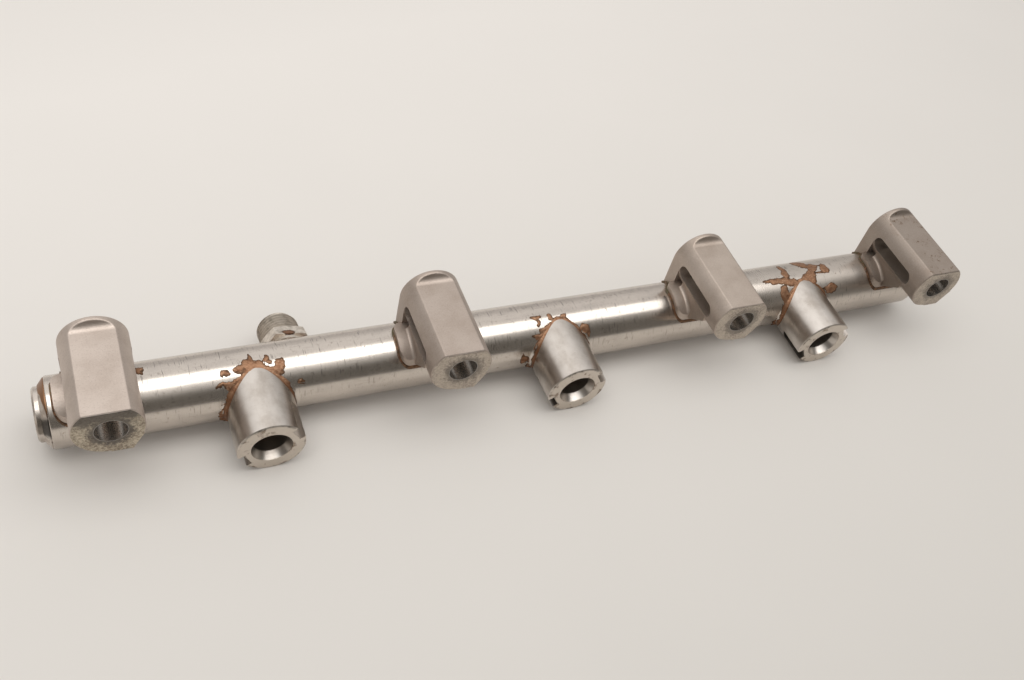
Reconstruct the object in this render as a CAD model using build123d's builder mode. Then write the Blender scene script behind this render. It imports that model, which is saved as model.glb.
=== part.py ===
from build123d import *
import os
from math import acos, cos, radians, sin, tan

# High-pressure fuel rail for one bank of three cylinders, with all sizes in millimetres.
# The tube lies along X. Three turned injector cups point to the front, which is -Y. Four cast
# lugs stand on top, +Z, and their bolt holes run along Y, like the cups. A threaded inlet leaves
# the back. The origin is the centre of the middle cup's bore, where an injector's seal sits.

# Rail tube
cylinder_pitch = 103.0
tube_diameter = 22.2
tube_bore = 15.0
tube_past_left_cup = 59.8
tube_past_right_cup = 53.0
tube_rim_rounding = 0.4

# Injector cups: length and inset are measured from the tube's surface
cup_inset = 1.1
cup_length = 15.7
cup_rim_chamfer = 0.35
cup_bore = 10.4
cup_bore_depth = 13.2
cup_mouth = 12.8
cup_mouth_depth = 2.7
cup_port = 3.0
drill_point = 118.0
groove_width = 5.0
groove_depth = 2.35
groove_length = 11.0
groove_angle = 29.0

# Mounting lugs: insets and drops are measured from the tube's surface or the boss
lug_before_cup = 44.0
bolt_hole = 9.1
bolt_hole_chamfer = 0.3
bolt_drop = 0.5
boss_diameter = 19.9
boss_shift = 0.65
boss_above_tube = 9.4
boss_front = 25.0
boss_back_inset = 2.6
boss_flat_rise = 7.65
seat_length = 1.6
cove_radius = 2.7
edge_rounding = 0.7
seat_rounding = 0.5
heel_drop = 10.1
heel_reach = 5.9
heel_top_drop = 3.9
heel_top_reach = 9.3
window_width = 5.6
window_rear_wall = 5.8
window_front_wall = 5.1
rear_wall_thickness = 5.5
web_width = 17.3
web_top_inset = 8.0
web_top_drop = 7.0
web_foot_drop = 4.1
web_rounding = 1.2
saddle_width = 26.4
saddle_thickness = 2.3
saddle_front_inset = 1.4
saddle_back_inset = 7.5
saddle_corner = 3.2

# End plugs
plug_head = 16.7
plug_head_length = 3.8
plug_chamfer = 0.6
plug_spigot_length = 9.0
plug_clearance = 0.05

# Inlet fitting, whose collar is measured from the tube's surface
inlet_past_cup = 13.5
inlet_droop = 17.4
inlet_collar = 16.4
inlet_collar_length = 0.8
inlet_hex = 17.0
inlet_hex_length = 3.1
inlet_hex_chamfer = 0.8
inlet_hex_turn = 8.0
inlet_neck = 12.2
inlet_neck_length = 1.5
inlet_thread = 14.0
inlet_thread_length = 10.8
inlet_thread_chamfer = 0.9
inlet_bore = 5.0
inlet_seat = 9.6
inlet_seat_angle = 60.0
inlet_port = 4.0

# Braze metal
cup_braze = 1.8
saddle_braze_width = 0.6
saddle_braze_thickness = 0.5
plug_braze_length = 2.0
plug_braze_rim = 0.3
inlet_braze = 0.7

tube_radius = tube_diameter / 2
cup_reach = tube_radius + cup_length
cup_bore_length = cup_bore_depth - cup_mouth_depth
tube_y = cup_reach - cup_mouth_depth - cup_bore_length / 2
tube_axis = Axis((0, tube_y, 0), (1, 0, 0))
tube_left = -cylinder_pitch - tube_past_left_cup
tube_right = cylinder_pitch + tube_past_right_cup
cup_diameter = tube_diameter - cup_inset
cup_radius = cup_diameter / 2
cup_places = [-cylinder_pitch, 0.0, cylinder_pitch]
lug_places = [place - lug_before_cup for place in cup_places] + [cylinder_pitch + lug_before_cup]
boss_radius = boss_diameter / 2
boss_height = tube_radius + boss_above_tube
boss_back = tube_radius - boss_back_inset
boss_flat = boss_height + boss_flat_rise
boss_flat_back = boss_back - seat_length - cove_radius
bolt_height = boss_height - bolt_drop
window_back = boss_back - window_rear_wall
window_front = boss_front - window_front_wall
saddle_front = tube_radius - saddle_front_inset
saddle_back = tube_radius - saddle_back_inset
inlet_place = -cylinder_pitch + inlet_past_cup
inlet_direction = Vector(0, cos(radians(inlet_droop)), -sin(radians(inlet_droop)))


def facing_front(x, back, height):
    """Plane seen from the front, behind the tube's axis by back. It extrudes along -Y."""
    return Plane(origin=(x, tube_y + back, height), x_dir=(1, 0, 0), z_dir=(0, -1, 0))


def across(x):
    """Plane across the rail, centred on the tube: its local x is Y and its local y is Z."""
    return Plane(origin=(x, tube_y, 0), x_dir=(0, 1, 0), z_dir=(1, 0, 0))


def level(x):
    """Level plane through the tube's axis: its local x is X and its local y is Y."""
    return Plane(origin=(x, tube_y, 0), x_dir=(1, 0, 0), z_dir=(0, 0, 1))


def inlet_plane(reach):
    """Plane square to the inlet's axis, at a distance from the tube's axis."""
    start = Vector(inlet_place, tube_y, 0)
    return Plane(origin=start + inlet_direction * reach, x_dir=(1, 0, 0), z_dir=inlet_direction)


def save(builder, name):
    """Label a finished piece and write it."""
    builder.part.label = name
    export_step(builder.part, f"parts/{name}.step")


def make_tube():
    """Thick-walled tube with a port under each cup and one for the inlet."""
    with BuildPart() as tube:
        with BuildSketch(across(tube_left)):
            Circle(tube_radius)
            Circle(tube_bore / 2, mode=Mode.SUBTRACT)
        extrude(amount=tube_right - tube_left)
        rims = tube.edges().filter_by(GeomType.CIRCLE).sort_by(SortBy.RADIUS)[-2:]
        fillet(rims, tube_rim_rounding)
        with BuildSketch(facing_front(0, 0, 0)):
            with Locations(*[(place, 0) for place in cup_places]):
                Circle(cup_port / 2)
        extrude(amount=tube_diameter, mode=Mode.SUBTRACT)
        with BuildSketch(inlet_plane(0)):
            Circle(inlet_port / 2)
        extrude(amount=tube_diameter, mode=Mode.SUBTRACT)
    return tube


def make_cup(place):
    """Turned cup, fish-mouthed onto the tube, with a lead-in and two anti-rotation grooves."""
    floor = cup_reach - cup_bore_depth
    drill_depth = cup_bore / 2 / tan(radians(drill_point / 2))
    with BuildPart() as cup:
        with BuildSketch(level(place)):
            with BuildLine():
                Polyline(
                    (0, 0),
                    (cup_radius, 0),
                    (cup_radius, cup_rim_chamfer - cup_reach),
                    (cup_radius - cup_rim_chamfer, -cup_reach),
                    (cup_mouth / 2, -cup_reach),
                    (cup_bore / 2, cup_mouth_depth - cup_reach),
                    (cup_bore / 2, -floor),
                    (0, drill_depth - floor),
                    close=True,
                )
            make_face()
        revolve(axis=Axis((place, 0, 0), (0, 1, 0)))
        with BuildSketch(facing_front(place, 0, 0)):
            Circle(cup_port / 2)
        extrude(amount=cup_reach, mode=Mode.SUBTRACT)
        with BuildSketch(across(place)):
            Circle(tube_radius)
        extrude(amount=cup_diameter, both=True, mode=Mode.SUBTRACT)
        with BuildSketch(facing_front(place, groove_length - cup_reach, 0)):
            with PolarLocations(cup_radius, 2, start_angle=groove_angle):
                Rectangle(2 * groove_depth, groove_width)
        extrude(amount=groove_length, mode=Mode.SUBTRACT)
    return cup


def make_shell(middle, half_width, thickness, front, back, corner):
    """Shell on top of the tube, whose outline from above is a rounded rectangle."""
    with BuildPart() as shell:
        with BuildSketch(level(middle)):
            with Locations((0, (back - front) / 2)):
                RectangleRounded(2 * half_width, front + back, corner)
        extrude(amount=tube_diameter)
        with BuildSketch(across(middle)):
            Circle(tube_radius + thickness)
            Circle(tube_radius, mode=Mode.SUBTRACT)
        extrude(amount=half_width, both=True, mode=Mode.INTERSECT)
    return shell


def make_lug(place):
    """Cast lug: bolt boss with a flat and windows, rear wall, web and saddle foot."""
    middle = place - boss_shift
    saddle = make_shell(
        middle, saddle_width / 2, saddle_thickness, saddle_front, saddle_back, saddle_corner
    )
    with BuildPart() as lug:
        # Web under the boss, with a raking front, flared into the saddle
        with BuildSketch(across(middle)):
            with BuildLine():
                Polyline(
                    (0, boss_height),
                    (0, 0),
                    (-saddle_front, 0),
                    (-saddle_front, tube_radius - web_foot_drop),
                    (web_top_inset - boss_front, boss_height - web_top_drop),
                    (web_top_inset - boss_front, boss_height),
                    close=True,
                )
            make_face()
        extrude(amount=web_width / 2, both=True)
        add(saddle.part)
        saddle_arcs = lug.edges().filter_by(GeomType.CIRCLE).group_by(SortBy.RADIUS)[-1]
        fillet(saddle_arcs.sort_by(Axis.X)[1:-1], web_rounding)

        # Round boss with a heel at its lower right
        with BuildSketch(facing_front(middle, boss_back, boss_height)):
            Circle(boss_radius)
            with BuildLine():
                Polyline(
                    (0, 0),
                    (0, -heel_drop),
                    (heel_reach, -heel_drop),
                    (heel_top_reach, -heel_top_drop),
                    close=True,
                )
            make_face()
        extrude(amount=boss_front + boss_back)

        # Rear wall, flush with the boss's sides
        with BuildSketch(across(middle)):
            with Locations((boss_back, 0)):
                Rectangle(rear_wall_thickness, boss_height, align=(Align.MAX, Align.MIN))
        extrude(amount=boss_radius, both=True)

        # Flat on top, ending in a cove that leaves the bolt seat full-round
        with BuildSketch(across(middle)):
            with BuildLine():
                cove = RadiusArc(
                    (boss_flat_back, boss_flat),
                    (boss_flat_back + cove_radius, boss_flat + cove_radius),
                    -cove_radius,
                )
                Polyline(
                    cove @ 1,
                    (boss_flat_back + cove_radius, boss_height + boss_diameter),
                    (-boss_front - boss_radius, boss_height + boss_diameter),
                    (-boss_front - boss_radius, boss_flat),
                    cove @ 0,
                )
            make_face()
        extrude(amount=boss_diameter, both=True, mode=Mode.SUBTRACT)
        flat_edges = lug.faces().filter_by(Axis.Z).sort_by(Axis.Z)[-1].edges().sort_by(Axis.X)
        cove_top = lug.edges().filter_by(GeomType.BSPLINE).sort_by(Axis.Z)[-1]
        fillet([flat_edges[0], flat_edges[-1], cove_top], edge_rounding)
        seat_rim = lug.edges().group_by(Axis.Y)[-1].filter_by(GeomType.CIRCLE)
        fillet(seat_rim, seat_rounding)

        # Bolt hole, and a window through both sides into it
        with BuildSketch(facing_front(place, boss_back, bolt_height)):
            Circle(bolt_hole / 2)
        extrude(amount=boss_front + boss_back, mode=Mode.SUBTRACT)
        end_faces = lug.faces().filter_by(Axis.Y)
        hole_rims = end_faces.edges().filter_by(GeomType.CIRCLE).group_by(SortBy.RADIUS)[0]
        chamfer(hole_rims, bolt_hole_chamfer)
        with BuildSketch(across(middle)):
            with Locations(((window_back - window_front) / 2, bolt_height)):
                SlotOverall(window_back + window_front, window_width)
        extrude(amount=boss_diameter, both=True, mode=Mode.SUBTRACT)

        # Seat on the tube
        with BuildSketch(across(middle)):
            Circle(tube_radius)
        extrude(amount=saddle_width, both=True, mode=Mode.SUBTRACT)
    return lug


def make_plug(end, outward):
    """Turned end plug: a head against the tube's end and a spigot in its bore."""
    with BuildPart() as plug:
        with BuildSketch(level(end)):
            with BuildLine():
                Polyline(
                    (-outward * plug_spigot_length, 0),
                    (-outward * plug_spigot_length, tube_bore / 2 - plug_clearance),
                    (0, tube_bore / 2 - plug_clearance),
                    (0, plug_head / 2),
                    (outward * (plug_head_length - plug_chamfer), plug_head / 2),
                    (outward * plug_head_length, plug_head / 2 - plug_chamfer),
                    (outward * plug_head_length, 0),
                    close=True,
                )
            make_face()
        revolve(axis=tube_axis)
    return plug


def make_plug_braze(end, outward):
    """Cone of braze metal between a plug's head and the rim of the tube's end."""
    rim = tube_radius - tube_rim_rounding
    with BuildPart() as braze:
        with BuildSketch(level(end)):
            with BuildLine():
                Polyline(
                    (0, plug_head / 2),
                    (0, rim),
                    (outward * plug_braze_rim, rim),
                    (outward * plug_braze_length, plug_head / 2 + plug_braze_rim),
                    (outward * plug_braze_length, plug_head / 2),
                    close=True,
                )
            make_face()
        revolve(axis=tube_axis)
    return braze


def make_cup_braze(place):
    """Fillet of braze metal in the corner between a cup and the tube."""
    with BuildPart() as braze:
        with BuildSketch(across(place)):
            Circle(tube_radius)
        extrude(amount=cup_diameter, both=True)
        with BuildSketch(facing_front(place, 0, 0)):
            Circle(cup_radius)
        extrude(amount=cup_reach)
        corner = braze.edges().filter_by(GeomType.BSPLINE)
        fillet(corner, cup_braze)
        with BuildSketch(across(place)):
            Circle(tube_radius)
        extrude(amount=cup_diameter, both=True, mode=Mode.SUBTRACT)
        with BuildSketch(facing_front(place, 0, 0)):
            Circle(cup_radius)
        extrude(amount=cup_reach, mode=Mode.SUBTRACT)
    return braze


def past(reach):
    """Where a rim of braze metal ends that goes on round the tube from an edge."""
    return tube_radius * cos(acos(reach / tube_radius) - saddle_braze_width / tube_radius)


def make_lug_braze(place, lug):
    """Rim of braze metal round a lug's saddle and rear wall."""
    middle = place - boss_shift
    rim = make_shell(
        middle,
        saddle_width / 2 + saddle_braze_width,
        saddle_braze_thickness,
        past(saddle_front),
        past(saddle_back),
        saddle_corner + saddle_braze_width,
    )
    rear_rim = make_shell(
        middle,
        boss_radius + saddle_braze_width,
        saddle_braze_thickness,
        0,
        past(boss_back),
        saddle_braze_width,
    )
    with BuildPart() as braze:
        add(rim.part)
        add(rear_rim.part)
        add(lug.part, mode=Mode.SUBTRACT)
    return braze


def make_inlet():
    """Inlet fitting: collar on the tube, hexagon, neck and male thread with a cone seat."""
    hex_start = tube_radius + inlet_collar_length
    hex_end = hex_start + inlet_hex_length
    thread_start = hex_end + inlet_neck_length
    thread_end = thread_start + inlet_thread_length
    seat_depth = (inlet_seat - inlet_bore) / 2 / tan(radians(inlet_seat_angle / 2))
    profile_plane = Plane(
        origin=(inlet_place, tube_y, 0),
        x_dir=(1, 0, 0),
        z_dir=(0, -inlet_direction.Z, inlet_direction.Y),
    )
    inlet_axis = Axis((inlet_place, tube_y, 0), inlet_direction)
    with BuildPart() as inlet:
        with BuildSketch(inlet_plane(hex_start)):
            RegularPolygon(inlet_hex / 2, 6, major_radius=False, rotation=inlet_hex_turn)
        extrude(amount=inlet_hex_length)
        with BuildSketch(profile_plane):
            with BuildLine():
                Polyline(
                    (0, 0),
                    (inlet_hex, 0),
                    (inlet_hex / 2 + inlet_hex_chamfer, hex_end - inlet_hex_chamfer),
                    (inlet_hex / 2, hex_end),
                    (0, hex_end),
                    close=True,
                )
            make_face()
        revolve(axis=inlet_axis, mode=Mode.INTERSECT)
        with BuildSketch(profile_plane):
            with BuildLine():
                Polyline(
                    (0, 0),
                    (inlet_collar / 2, 0),
                    (inlet_collar / 2, hex_start),
                    (inlet_neck / 2, hex_start),
                    (inlet_neck / 2, thread_start),
                    (inlet_thread / 2, thread_start + (inlet_thread - inlet_neck) / 2),
                    (inlet_thread / 2, thread_end - inlet_thread_chamfer),
                    (inlet_thread / 2 - inlet_thread_chamfer, thread_end),
                    (0, thread_end),
                    close=True,
                )
            make_face()
        revolve(axis=inlet_axis)
        with BuildSketch(profile_plane):
            with BuildLine():
                Polyline(
                    (0, 0),
                    (inlet_bore / 2, 0),
                    (inlet_bore / 2, thread_end - seat_depth),
                    (inlet_seat / 2, thread_end),
                    (0, thread_end),
                    close=True,
                )
            make_face()
        revolve(axis=inlet_axis, mode=Mode.SUBTRACT)
        with BuildSketch(across(inlet_place)):
            Circle(tube_radius)
        extrude(amount=inlet_hex, both=True, mode=Mode.SUBTRACT)
    return inlet


def make_inlet_braze():
    """Fillet of braze metal in the corner between the inlet's collar and the tube."""
    with BuildPart() as braze:
        with BuildSketch(across(inlet_place)):
            Circle(tube_radius)
        extrude(amount=inlet_hex, both=True)
        with BuildSketch(inlet_plane(0)):
            Circle(inlet_collar / 2)
        extrude(amount=2 * tube_radius)
        fillet(braze.edges().filter_by(GeomType.BSPLINE), inlet_braze)
        with BuildSketch(across(inlet_place)):
            Circle(tube_radius)
        extrude(amount=inlet_hex, both=True, mode=Mode.SUBTRACT)
        with BuildSketch(inlet_plane(0)):
            Circle(inlet_collar / 2)
        extrude(amount=2 * tube_radius, mode=Mode.SUBTRACT)
    return braze


tube = make_tube()
cups = [make_cup(place) for place in cup_places]
lugs = [make_lug(place) for place in lug_places]
inlet = make_inlet()
plugs = {"left": make_plug(tube_left, -1), "right": make_plug(tube_right, 1)}
plug_brazes = {"left": make_plug_braze(tube_left, -1), "right": make_plug_braze(tube_right, 1)}
cup_brazes = [make_cup_braze(place) for place in cup_places]
lug_brazes = [make_lug_braze(place, lug) for place, lug in zip(lug_places, lugs)]
inlet_braze_ring = make_inlet_braze()

os.makedirs("parts", exist_ok=True)
save(tube, "rail_tube")
save(inlet, "inlet_fitting")
save(inlet_braze_ring, "braze_inlet")
for number, cup in enumerate(cups, 1):
    save(cup, f"injector_cup_{number}")
for number, lug in enumerate(lugs, 1):
    save(lug, f"mounting_lug_{number}")
for side, plug in plugs.items():
    save(plug, f"end_plug_{side}")
for side, braze in plug_brazes.items():
    save(braze, f"braze_plug_{side}")
for number, braze in enumerate(cup_brazes, 1):
    save(braze, f"braze_cup_{number}")
for number, braze in enumerate(lug_brazes, 1):
    save(braze, f"braze_lug_{number}")
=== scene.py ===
from math import atan2, cos, hypot, pi, radians, sin, tan

import bmesh
import bpy
from bpy.props import FloatProperty, FloatVectorProperty, IntProperty, PointerProperty
from mathutils import Euler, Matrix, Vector, noise


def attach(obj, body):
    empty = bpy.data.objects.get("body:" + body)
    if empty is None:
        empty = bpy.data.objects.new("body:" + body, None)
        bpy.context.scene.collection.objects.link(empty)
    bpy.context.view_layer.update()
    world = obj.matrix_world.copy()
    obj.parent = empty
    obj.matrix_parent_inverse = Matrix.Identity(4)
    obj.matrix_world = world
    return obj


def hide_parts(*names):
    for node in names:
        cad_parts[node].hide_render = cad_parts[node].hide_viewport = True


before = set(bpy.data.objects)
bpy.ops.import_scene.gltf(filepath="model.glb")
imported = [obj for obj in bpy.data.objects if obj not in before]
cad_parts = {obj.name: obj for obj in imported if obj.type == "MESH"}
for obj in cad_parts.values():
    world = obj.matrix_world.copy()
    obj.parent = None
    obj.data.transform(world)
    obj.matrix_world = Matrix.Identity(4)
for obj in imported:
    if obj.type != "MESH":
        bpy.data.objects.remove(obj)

bl_info = {
    "name": "Fuel rail looks",
    "version": (1, 0, 0),
    "blender": (4, 5, 0),
    "location": "3D View > Sidebar > Fuel rail",
    "description": "Threaded inlet, metal finishes and a studio for a brazed fuel rail",
    "category": "Object",
}

# Places in the rail's frame, in millimetres, as the solids have them
TUBE_Y = 18.85
TUBE_RADIUS = 11.1
CUP_RADIUS = 10.55
CUP_END = -7.95
GROOVE_TURN = radians(29)
CUP_PLACES = {1: -103.0, 2: 0.0, 3: 103.0}
LUG_PLACES = {1: -147.0, 2: -44.0, 3: 59.0, 4: 147.0}
LUG_END = -6.15
BOLT_HEIGHT = 20.0
BOSS_SHIFT = 0.65
BOSS_HALF_WIDTH = 9.95
WEB_HALF_WIDTH = 8.65
SADDLE_RADIUS = 13.4
REAR_WALL_START = 3.0

# Copper splashes on the tube, as ellipses in millimetres: distance along the rail from the cup,
# distance round the tube from its front, half length, half width, and turn in degrees
SPLASHES = {
    1: [
        (-9.6, 13.2, 1.3, 1.1, 0), (-5.0, 14.2, 2.4, 1.1, 25), (-1.8, 15.0, 2.5, 1.8, 0),
        (-1.4, 16.9, 2.1, 0.7, 95), (0.9, 14.2, 1.8, 1.6, 0), (-0.2, 12.7, 4.6, 0.9, 0),
        (3.3, 16.3, 1.3, 1.0, 80), (4.3, 14.9, 1.0, 0.8, 0), (7.4, 13.5, 2.6, 1.6, 85),
        (6.0, 11.9, 2.2, 1.0, -35), (-10.4, 10.0, 2.6, 0.7, -5), (-8.9, 9.4, 1.3, 1.2, 0),
        (13.0, 7.4, 1.0, 0.8, 0), (-33.6, 19.2, 1.8, 1.2, 90),
    ],
    2: [
        (-8.0, 15.6, 2.2, 1.0, 0), (-7.6, 13.2, 1.7, 0.7, 95), (-9.2, 8.9, 1.9, 1.3, 0),
        (-6.2, 10.8, 1.9, 0.8, 15), (-3.0, 15.0, 1.3, 1.1, 90), (1.9, 14.6, 1.5, 1.2, 0),
        (2.1, 12.4, 1.5, 1.2, 0), (8.8, 9.2, 2.0, 1.5, 0), (10.2, 7.0, 1.7, 0.6, 100),
        (-13.2, 1.0, 1.6, 1.4, 0), (-14.5, 3.0, 1.2, 0.4, 110),
    ],
    3: [
        (-11.5, 14.9, 6.6, 1.4, -3), (-6.3, 13.7, 4.2, 1.8, -15), (-9.6, 9.6, 3.2, 2.0, 100),
        (-9.4, 6.6, 2.2, 1.2, 100), (-6.7, 17.5, 2.3, 1.6, 90), (-6.1, 21.0, 2.7, 1.2, 90),
        (0.6, 14.0, 3.2, 1.3, 18), (4.0, 15.4, 3.2, 2.0, 35), (6.6, 18.5, 2.8, 2.1, 60),
        (3.2, 22.3, 3.8, 2.3, 115), (9.0, 19.6, 1.5, 0.5, 0), (9.0, 16.0, 1.5, 0.5, 0),
        (11.8, 17.5, 2.7, 1.8, 90), (4.0, 13.0, 2.2, 1.5, 0), (11.6, 9.1, 3.2, 1.5, 0),
    ],
}

# Width of the copper beside each cup and at its top, in millimetres
COPPER_WIDTHS = {1: (1.0, 1.9), 2: (0.7, 0.9), 3: (0.9, 1.9)}

# Field that the copper is cut from, in millimetres: along the rail, then round the tube
SPLASH_HALF_SIZE = (26.0, 22.0)
SPLASH_MIDDLE = (-9.0, 4.0)
SPLASH_CELL = 0.25
CUP_ARC = 17.0
EDGE_STEPS = 3
EDGE_STEP = 0.02

# Film of copper, in millimetres
FILM_RISE = 0.7
FILM_SINK = 0.02
FILM_LEAST = 0.1
FILM_LUMPS = 0.14
FILM_SOLID = 0.4

# Lesser values of the inlet and the meshes, with lengths in metres
HEX_CHAMFER_SLOPE = 0.6
HEX_FACE_INSET = 0.0001
NECK_CORNER = 0.0002
MERGE_DISTANCE = 1e-6
TUCK_DISTANCE = 2e-6
SHARP_ANGLE = radians(32)

# Stage, in metres and degrees, with the sensor in millimetres
CUP_RIM_LOW = -0.01045
LAMP_PLACE = (0.0125, -0.012)
CAMERA_PLACE = (-0.149419, -0.188072, 0.269276)
CAMERA_ANGLES = (41.219, -11.050, -20.954)
SENSOR_WIDTH = 36.0


def linear(red, green, blue):
    """Linear colour of a display colour from 0 to 255."""
    scaled = [channel / 255 for channel in (red, green, blue)]
    return [c / 12.92 if c <= 0.04045 else ((c + 0.055) / 1.055) ** 2.4 for c in scaled] + [1.0]


TUBE_DULL = linear(190, 182, 174)
TUBE_GRAIN = linear(140, 132, 124)
TUBE_STREAK = linear(128, 118, 108)
TUBE_GRIME = linear(116, 104, 90)
CUP_DULL = linear(184, 175, 166)
CUP_RINGS = linear(150, 142, 134)
CUP_RIM = linear(208, 198, 186)
CUP_BORE_SHADE = linear(150, 140, 130)
CAST_GRAIN = linear(138, 126, 116)
CAST_GLINT = linear(214, 204, 196)
CAST_DIRT = linear(196, 183, 162)
CAST_SOIL = linear(124, 110, 94)
CAST_SOOT = linear(84, 77, 70)
HOLE_STEEL = linear(172, 168, 162)
STAIN_BROWN = linear(112, 88, 66)
# Black of real stains, soot and scratches, and of the painted shade in the cups' grooves
STAIN_AND_SHADE_BLACK = linear(50, 46, 42)
FOOT_COPPER = linear(128, 96, 72)
FOOT_DARK = linear(78, 60, 46)
FOOT_GREEN = linear(112, 106, 84)
FOOT_BARE = linear(170, 158, 146)
CONE_DULL = linear(172, 160, 148)
CONE_COPPER = linear(140, 104, 76)
PLUG_DULL = linear(176, 165, 154)
PLUG_SOOT = linear(84, 74, 62)
HEX_DULL = linear(170, 160, 148)
THREAD_DIRT = linear(112, 100, 88)
FRONT_DARK = (0.16, 0.15, 0.135, 1.0)
FRONT_BRIGHT = (1.4, 1.39, 1.36, 1.0)
BACK_LOW = (0.62, 0.60, 0.58, 1.0)
BACK_HIGH = (0.92, 0.9, 0.88, 1.0)
BACK_STREAK = (1.2, 1.18, 1.15, 1.0)
FRONT_SOFT = (0.72, 0.72, 0.72, 1.0)
BACK_SOFT = (0.62, 0.62, 0.62, 1.0)
COLOUR = {"size": 4, "subtype": "COLOR", "min": 0.0, "max": 1.0}


class InletSizes(bpy.types.PropertyGroup):
    """Sizes of the threaded inlet, along its own axis from the tube's."""

    place: FloatProperty(
        name="Place along the rail",
        description="Distance of the inlet's axis from the middle cup, along the rail",
        default=-0.0895,
        unit="LENGTH",
    )
    droop: FloatProperty(
        name="Droop",
        description="How far the inlet's axis points down from straight back",
        default=radians(17.4),
        subtype="ANGLE",
    )
    foot: FloatProperty(
        name="Foot",
        description="Where the fitting starts, inside the tube's wall",
        default=0.0085,
        unit="LENGTH",
    )
    collar_radius: FloatProperty(
        name="Collar radius",
        description="Radius of the collar that stands on the tube",
        default=0.0082,
        unit="LENGTH",
    )
    hex_start: FloatProperty(
        name="Hexagon start",
        description="Where the hexagon's lower face is",
        default=0.0102,
        unit="LENGTH",
    )
    hex_end: FloatProperty(
        name="Hexagon end",
        description="Where the hexagon's upper face is",
        default=0.015,
        unit="LENGTH",
    )
    hex_width: FloatProperty(
        name="Hexagon width",
        description="Width of the hexagon across its flats",
        default=0.017,
        unit="LENGTH",
    )
    hex_turn: FloatProperty(
        name="Hexagon turn",
        description="Turn of the hexagon about the inlet's axis",
        default=radians(8.0),
        subtype="ANGLE",
    )
    neck_radius: FloatProperty(
        name="Neck radius",
        description="Radius of the undercut below the thread",
        default=0.0061,
        unit="LENGTH",
    )
    thread_start: FloatProperty(
        name="Thread start",
        description="Where the undercut ends and the thread starts",
        default=0.0165,
        unit="LENGTH",
    )
    thread_end: FloatProperty(
        name="Thread end",
        description="Where the fitting ends",
        default=0.0273,
        unit="LENGTH",
    )
    thread_radius: FloatProperty(
        name="Thread radius",
        description="Radius over the thread's crests",
        default=0.007,
        unit="LENGTH",
    )
    thread_pitch: FloatProperty(
        name="Thread pitch",
        description="Distance from one crest to the next",
        default=0.0015,
        unit="LENGTH",
    )
    thread_chamfer: FloatProperty(
        name="Thread chamfer",
        description="Chamfer at both ends of the thread",
        default=0.0009,
        unit="LENGTH",
    )
    seat_radius: FloatProperty(
        name="Seat radius",
        description="Radius of the cone seat at its mouth",
        default=0.0048,
        unit="LENGTH",
    )
    seat_angle: FloatProperty(
        name="Seat angle",
        description="Angle between the two sides of the cone seat",
        default=radians(60),
        subtype="ANGLE",
    )
    bore_radius: FloatProperty(
        name="Bore radius",
        description="Radius of the fuel bore",
        default=0.0025,
        unit="LENGTH",
    )
    segments: IntProperty(
        name="Segments",
        description="Divisions round the fitting",
        default=96,
        min=24,
    )


class StageSizes(bpy.types.PropertyGroup):
    """Floor, lamp and camera of the studio."""

    floor_size: FloatProperty(
        name="Floor size",
        description="Side of the square floor",
        default=5.0,
        unit="LENGTH",
    )
    floor_slope: FloatProperty(
        name="Floor slope",
        description="Tilt of the floor, below zero where its back is the lower edge",
        default=radians(-5.05),
        subtype="ANGLE",
    )
    lamp_height: FloatProperty(
        name="Lamp height",
        description="Height of the long soft lamp over the rail",
        default=0.7,
        unit="LENGTH",
    )
    lamp_length: FloatProperty(
        name="Lamp length",
        description="Length of the lamp along the rail",
        default=1.125,
        unit="LENGTH",
    )
    lamp_width: FloatProperty(
        name="Lamp width",
        description="Width of the lamp across the rail",
        default=0.44,
        unit="LENGTH",
    )
    lamp_power: FloatProperty(
        name="Lamp power",
        description="Power of the lamp in watts",
        default=2.5,
        min=0.0,
    )
    lamp_turn: FloatProperty(
        name="Lamp turn",
        description="Turn of the lamp's right end towards the front",
        default=radians(6.0),
        subtype="ANGLE",
    )
    lens: FloatProperty(
        name="Lens",
        description="Focal length of the camera in millimetres",
        default=37.032,
        min=1.0,
    )


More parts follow.
